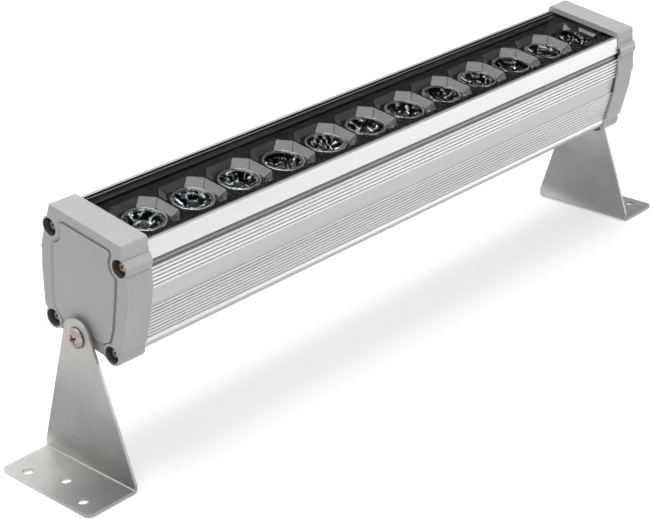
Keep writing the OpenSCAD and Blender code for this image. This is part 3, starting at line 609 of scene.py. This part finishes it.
def drill_tool(side):
    """Solid that cuts the recess over each screw of a cap."""
    verts, faces = [], []
    for spot_y, spot_z in SCREW_SPOTS:
        faces += ring_faces(len(verts), DRILL_SIDES, len(DRILL), side)
        for x, r in DRILL:
            for k in range(DRILL_SIDES):
                a = 2 * math.pi * k / DRILL_SIDES
                verts.append((side * x, spot_y + r * math.cos(a), spot_z + r * math.sin(a)))
    mesh = bpy.data.meshes.new("drill")
    mesh.from_pydata([HOUSING @ (Vector(v) * MM) for v in verts], [], faces)
    tool = bpy.data.objects.new("drill", mesh)
    bpy.context.scene.collection.objects.link(tool)
    return tool


def add_cap(word, side):
    """End cap with rounded edges, a sloping moat round its panel, and a recess over each screw."""
    verts = []
    for j, (reach, depth) in enumerate(CAP_RINGS):
        for a, r in zip(CAP_ANGLES, reach):
            y, z = r * math.cos(a), MID_Z + r * math.sin(a)
            open_low = abs(y) < OPEN_HALF and z < OPEN_TOP and j in OPEN_RINGS
            verts.append((side * (CAP_X - (max(depth, OPEN_DEPTH) if open_low else depth)), y, z))
    faces = ring_faces(0, len(CAP_ANGLES), len(CAP_RINGS), side)
    cap = add_piece(word + "_cap_shell", verts, faces, "cap_paint", word + "_end_cap",
                    extra=(RECESS_PAINTED_SHADE, WORN_EDGE))
    tool = drill_tool(side)
    cutting = cap.modifiers.new("recesses", "BOOLEAN")
    cutting.operation = "DIFFERENCE"
    cutting.solver = "EXACT"
    cutting.object = tool
    bpy.context.view_layer.update()
    done = bpy.data.meshes.new_from_object(cap.evaluated_get(bpy.context.evaluated_depsgraph_get()))
    cap.modifiers.clear()
    cap.data = done
    bpy.data.objects.remove(tool)
    for face in done.polygons:
        face.use_smooth = True
        spot = HOUSING.inverted() @ face.center / MM
        near, x = min(math.hypot(spot.y - y, spot.z - z) for y, z in SCREW_SPOTS), abs(spot.x)
        # The wall and the floor of a recess are painted dark as shade, and its lip is worn
        if 5.0 < near < LIP_NEAR and SCREW_SEAT - 0.1 < x < CAP_X - 0.01 or near < 5.5 and x < SCREW_SEAT + 0.1:
            face.material_index = 2 if near > BORE_NEAR else 1
    done.set_sharp_from_angle(angle=math.radians(32))
    even = cap.modifiers.new("even", "WEIGHTED_NORMAL")
    even.keep_sharp = True


add_cap("left", -1)
add_cap("right", 1)


# Lenses: height and rings of the cone, place of the rim's ring of bright metal, a painted highlight, and the flutes as
# size, count and phase
LENS_LIFT, CONE_H, CONE_RINGS, CONE_SWELL, RIM_RING = 0.06, 10.4, 12, 1.55, 16
FLUTES = ((0.3, 12, 1), (0.16, 7, 2.3), (0.1, 29, 0))


def add_lens(i):
    """Collimator lens: raised rim, dished face, fluted cone, and a hollow over the light source."""
    verts, faces, groups = [], [], []
    shape = [(LENS_WELL_R, LENS_LIFT), (LENS_FOOT_R, LENS_LIFT)]
    for k in range(1, CONE_RINGS + 1):
        t = k / CONE_RINGS
        swell = 1 - (1 - t) ** CONE_SWELL
        shape.append((LENS_FOOT_R + (LENS_R - 0.7 - LENS_FOOT_R) * swell, CONE_H * t))
    shape += [(LENS_R, 10.45), (LENS_R, 11.7), (LENS_R - 0.25, LENS_H), (LENS_R - 0.75, LENS_H),
              (LENS_R - 1.3, 11.5)]
    shape += [(r, 11.5 + 0.35 * math.exp(-((r / 4.2) ** 2))) for r in (10, 8, 6, 4, 2, MIDDLE_R)]
    hollow = [(MIDDLE_R, 3.6), (1, 3.7), (2, 3.95), (3.0, 4.4), (LENS_WELL_R, 4.1)]
    for loop in (shape, hollow):
        base = len(verts)
        for r, z in loop:
            for k in range(AROUND):
                a = 2 * math.pi * k / AROUND
                wave = sum(size * math.sin(count * a + phase * i) for size, count, phase in FLUTES)
                flute = wave * math.sin(math.pi * z / CONE_H) if loop is shape and 0 < z < CONE_H else 0
                verts.append((LENS_X[i] + (r + flute) * math.cos(a), (r + flute) * math.sin(a), BOARD_TOP + z))
        for j in range(len(loop) - 1):
            for k in range(AROUND):
                a, b = base + j * AROUND + k, base + j * AROUND + (k + 1) % AROUND
                faces.append((a, b, b + AROUND, a + AROUND))
                # The cone takes the painted reflection, the rim's ring the painted highlight, and the hollow the
                # painted shade
                groups.append((1 if j <= CONE_RINGS else 2 if j == RIM_RING else 0) if loop is shape else 3)
    # The hollow's foot joins the cone's foot, and a lid closes the lens's face and the hollow's top
    foot, lid, roof = (len(shape) + len(hollow) - 1) * AROUND, (len(shape) - 1) * AROUND, len(shape) * AROUND
    for k in range(AROUND):
        k1 = (k + 1) % AROUND
        faces.append((foot + k, foot + k1, k1, k))
    faces.append(tuple(lid + k for k in range(AROUND)))
    faces.append(tuple(roof + k for k in reversed(range(AROUND))))
    groups += [3] * AROUND + [0, 3]
    add_piece("lens_body_%d" % (i + 1), verts, faces, "lens_clear", "lens_%d" % (i + 1), groups,
              (LENS_CONE_PAINTED_REFLECTION, LENS_RIM_PAINTED_HIGHLIGHT, LENS_WELL_PAINTED_SHADE))


# Hoods: half width and depth of the joints between the pocket's walls, and softened edges
JOINT_HALF, JOINT_DEPTH, HOOD_EDGE, BORE_EDGE = 0.22, 0.3, 0.12, 0.2
# Each wall has a joint and nine points. The walls at +Y and -Y and the corner between +Y and -X are painted dull and
# dark as shade, and the other walls are painted as lit grey metal
WALL_POINTS, SHADED_WALLS, POCKET_BAND = 9, (2, 3, 6), 3


def pocket_loop(half_x, half_y, cut_x, cut_y):
    """Eight-sided loop with a V joint at each corner, and 1 for the points whose next face is in a joint."""
    ring = [(half_x, cut_y - half_y), (half_x, half_y - cut_y), (half_x - cut_x, half_y), (cut_x - half_x, half_y),
            (-half_x, half_y - cut_y), (-half_x, cut_y - half_y), (cut_x - half_x, -half_y), (half_x - cut_x, -half_y)]
    out, marks = [], []
    for k in range(8):
        a, b = Vector(ring[k]), Vector(ring[(k + 1) % 8])
        along = (b - a).normalized()
        out.append(a + a.normalized() * JOINT_DEPTH)
        marks.append(1)
        for n in range(WALL_POINTS):
            out.append((a + along * JOINT_HALF).lerp(b - along * JOINT_HALF, n / (WALL_POINTS - 1)))
            marks.append(1 if n == WALL_POINTS - 1 else 0)
    return out, marks


def hood_outline(loop, inset):
    """The hood's rectangle, with a point in the direction of each point of a loop and one at each corner."""
    half_x, half_y = HOOD_X - inset, HOOD_Y - inset
    out = [p * min(half_x / max(abs(p.x), 1e-9), half_y / max(abs(p.y), 1e-9)) for p in loop]
    for sx in (-1, 1):
        for sy in (-1, 1):
            corner = Vector((sx * half_x, sy * half_y))
            near = min(range(len(out)), key=lambda k: (out[k] - corner).length)
            out[near] = corner
    return out


def add_hood(i):
    """Dark tile with an eight-sided pocket, thin joints between its walls, and a bore for the lens."""
    top, marks = pocket_loop(*POCKET)
    low = pocket_loop(*FLOOR)[0]
    bore = [p.normalized() * BORE_R for p in low]
    wide = [p.normalized() * (BORE_R + BORE_EDGE) for p in low]
    brim = [p + p.normalized() * HOOD_EDGE for p in top]
    loops = [(bore, POCKET_FLOOR - HOOD_WALL), (bore, POCKET_FLOOR - BORE_EDGE), (wide, POCKET_FLOOR),
             (low, POCKET_FLOOR), (top, HOOD_H - HOOD_EDGE), (brim, HOOD_H), (hood_outline(top, HOOD_EDGE), HOOD_H),
             (hood_outline(top, 0), HOOD_H - HOOD_EDGE), (hood_outline(top, 0), 0), (hood_outline(top, HOOD_WALL), 0),
             (hood_outline(top, HOOD_WALL), POCKET_FLOOR - HOOD_WALL)]
    verts, faces, groups, count = [], [], [], len(top)
    for loop, z in loops:
        verts += [(LENS_X[i] + p.x, p.y, BOARD_TOP + z) for p in loop]
    total = len(verts)
    for j in range(len(loops)):
        for k in range(count):
            a, b = j * count + k, j * count + (k + 1) % count
            faces.append((a, (a + count) % total, (b + count) % total, b))
            # Walls on the shaded sides take the painted shade, the others the painted light
            wall = 3 if k // (WALL_POINTS + 1) in SHADED_WALLS else 2
            groups.append((1 if marks[k] else wall) if j == POCKET_BAND else 0)
    hood = add_piece("hood_tile_%d" % (i + 1), verts, faces, "hood_black", "hood_%d" % (i + 1), groups,
                     (HOOD_JOINT, POCKET_WALL_PAINTED_LIGHT, POCKET_WALL_PAINTED_SHADE))
    hood.data.set_sharp_from_angle(angle=math.radians(20))


for i in range(LENS_COUNT):
    add_lens(i)
    add_hood(i)


# Stage
LIGHT_CENTER = (0, 0, 0.1)


def seen_rays(tree):
    """The Light Path node, and 1 for camera, glossy and transmission rays."""
    path = node(tree, "LightPath")
    seen = path.outputs["Is Camera Ray"]
    for name in ("Is Glossy Ray", "Is Transmission Ray"):
        either = node(tree, "Math", operation="MAXIMUM")
        tree.links.new(seen, either.inputs[0])
        tree.links.new(path.outputs[name], either.inputs[1])
        seen = either.outputs[0]
    return path, seen


def add_sheet(name, half_x, half_y, paint):
    """A flat sheet of the stage, with a dull material of its own, and that material's tree and shader."""
    mesh = bpy.data.meshes.new(name)
    mesh.from_pydata([(-half_x, -half_y, 0), (half_x, -half_y, 0), (half_x, half_y, 0), (-half_x, half_y, 0)],
                     [], [(0, 1, 2, 3)])
    sheet = bpy.data.objects.new(name, mesh)
    bpy.context.scene.collection.objects.link(sheet)
    mat, tree, shader = new_material(paint)
    shader.inputs["Roughness"].default_value = 0.9
    mesh.materials.append(mat)
    return sheet, tree, shader


def add_floor():
    """Pale floor that keeps the shadow, and for the camera glows more and more away from the light."""
    floor, tree, shader = add_sheet("floor", 6.0, 6.0, "floor_white")
    floor.location.z = -0.0005
    shader.inputs["Base Color"].default_value = (0.8, 0.8, 0.8, 1)
    shader.inputs["Specular IOR Level"].default_value = 0.1
    path, seen = seen_rays(tree)
    glow = node(tree, "Math", operation="MULTIPLY")
    glow.inputs[1].default_value = 0.3
    tree.links.new(seen, glow.inputs[0])
    coords = node(tree, "TexCoord")
    reach = node(tree, "VectorMath", operation="LENGTH")
    far = node(tree, "MapRange")
    far.inputs["From Min"].default_value, far.inputs["From Max"].default_value = 0.5, 2.0
    far.inputs["To Max"].default_value = 0.9
    away = node(tree, "Math", operation="MULTIPLY_ADD")
    tree.links.new(coords.outputs["Object"], reach.inputs[0])
    tree.links.new(reach.outputs["Value"], far.inputs[0])
    tree.links.new(far.outputs[0], away.inputs[0])
    tree.links.new(path.outputs["Is Camera Ray"], away.inputs[1])
    tree.links.new(glow.outputs[0], away.inputs[2])
    shader.inputs["Emission Color"].default_value = (1, 1, 1, 1)
    tree.links.new(away.outputs[0], shader.inputs["Emission Strength"])


def add_card(name, toward, distance, size):
    """Dark card that the glass and the metal mirror, out of the camera's sight."""
    card, _, shader = add_sheet(name, size[0] / 2, size[1] / 2, name + "_black")
    card.location = Vector(LIGHT_CENTER) + Vector(toward).normalized() * distance
    card.rotation_euler = (Vector(LIGHT_CENTER) - card.location).to_track_quat("Z", "Y").to_euler()
    card.visible_camera = False
    shader.inputs["Base Color"].default_value = (0.02, 0.02, 0.02, 1)
    shader.inputs["Specular IOR Level"].default_value = 0.0


def add_world():
    """White all round for the camera, mirrors and glass, and a soft grey light on everything."""
    world = bpy.data.worlds.new("studio")
    bpy.context.scene.world = world
    world.use_nodes = True
    tree = world.node_tree
    tree.nodes.clear()
    out = tree.nodes.new("ShaderNodeOutputWorld")
    soft = node(tree, "Background", Color=(1, 1, 1, 1), Strength=0.32)
    white = node(tree, "Background", Color=(1, 1, 1, 1), Strength=1.0)
    mix = node(tree, "MixShader")
    tree.links.new(seen_rays(tree)[1], mix.inputs[0])
    tree.links.new(soft.outputs[0], mix.inputs[1])
    tree.links.new(white.outputs[0], mix.inputs[2])
    tree.links.new(mix.outputs[0], out.inputs[0])


def add_lamp(name, place, target, size, power):
    """Soft rectangular lamp, out of the camera's sight."""
    data = bpy.data.lights.new(name, "AREA")
    data.shape = "RECTANGLE"
    data.size, data.size_y = size
    data.energy = power
    lamp = bpy.data.objects.new(name, data)
    bpy.context.scene.collection.objects.link(lamp)
    lamp.location = place
    lamp.rotation_euler = (Vector(target) - Vector(place)).to_track_quat("-Z", "Y").to_euler()
    lamp.visible_camera = False
    return lamp


add_camera()
add_floor()
# The card is what the glass and the hoods mirror towards the camera
add_card("back_card", (0.678, 0.497, 0.541), 6.0, (2.7, 1.9))
add_world()
add_lamp("top", (-0.3, 0.15, 2.3), LIGHT_CENTER, (2.4, 2.0), 60)
# Metal doesn't mirror the key and the left lamp, and the key doesn't shine through the glass
key = add_lamp("key", (-0.3, -1.8, 1.3), LIGHT_CENTER, (2.4, 1.8), 14)
key.visible_glossy = key.visible_transmission = False
add_lamp("left", (-1.5, 1.3, 0.75), LIGHT_CENTER, (1.8, 1.0), 1).visible_glossy = False
# The low lamp is only mirrored, most of all in the side of the front lip
add_lamp("low_right", (1.3, -1.5, 0.19), (0, 0, 0.12), (2.0, 0.33), 13).visible_diffuse = False

scene = bpy.context.scene
scene.view_settings.view_transform = "Standard"
